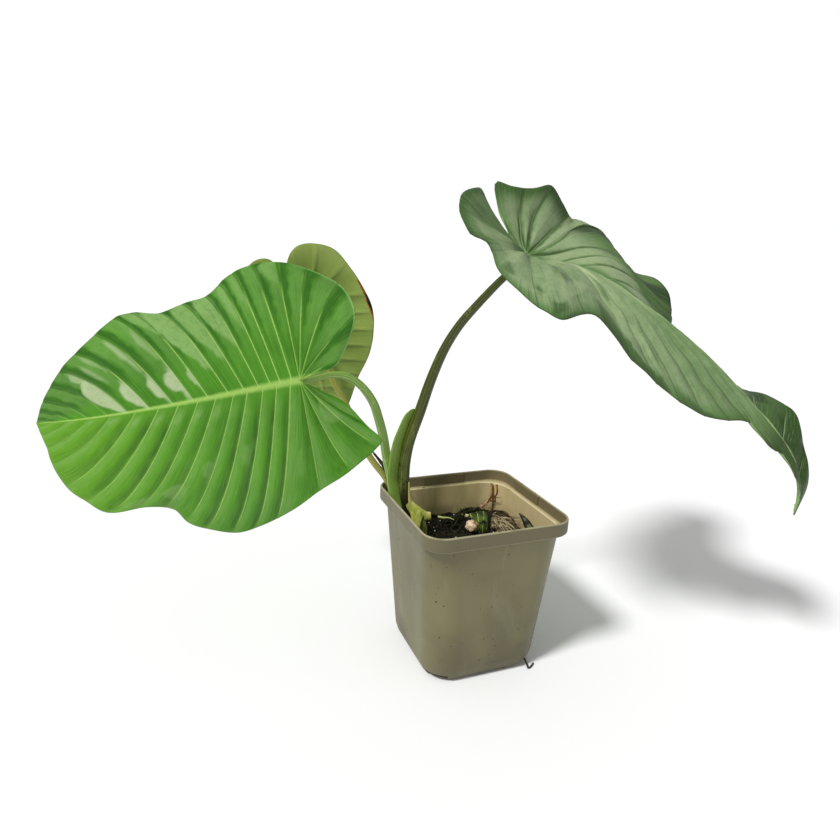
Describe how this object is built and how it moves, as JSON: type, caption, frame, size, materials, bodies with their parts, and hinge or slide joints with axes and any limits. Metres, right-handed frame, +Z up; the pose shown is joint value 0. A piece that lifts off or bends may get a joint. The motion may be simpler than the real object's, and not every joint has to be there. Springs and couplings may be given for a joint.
{
  "type": "potted adelonema picturatum plant",
  "caption": "Potted aroid house plant with pleated heart-shaped leaves on long petioles, a ringed rhizome on dark soil and a tapered square nursery pot.",
  "frame": {"origin": "centre of the pot's flat base, on the surface that the pot stands on", "axes": "+Z up; the pot's four walls face +X, -X, +Y and -Y; the large leaf droops towards +X and -Y, the front leaf points towards -X"},
  "size_m": [0.3991, 0.1957, 0.2786],
  "materials": {
    "pot_plastic": "satin",
    "soil_mix": "matte",
    "rhizome_skin": "satin",
    "sheath_yellow": "satin",
    "dried_brown": "matte",
    "dried_black": "matte",
    "petiole_green": "satin",
    "petiole_pale": "satin",
    "petiole_yellow": "satin",
    "blade_green": "satin",
    "blade_grey": "satin",
    "blade_underside": "satin"
  },
  "bodies": {
    "root": {"pot": "pot_plastic", "soil": "soil_mix", "rhizome": "rhizome_skin", "old_sheath": "sheath_yellow", "corner_root": "dried_brown", "stem_scale": "dried_black", "surface_root": "dried_brown", "drain_root": "dried_black", "dried_sheath": "dried_black", "petiole_right": "petiole_green", "petiole_front": "petiole_pale", "petiole_back": "petiole_yellow", "leaf_front": "blade_green", "leaf_right": "blade_grey", "leaf_back": "blade_underside"}
  },
  "joints": []
}
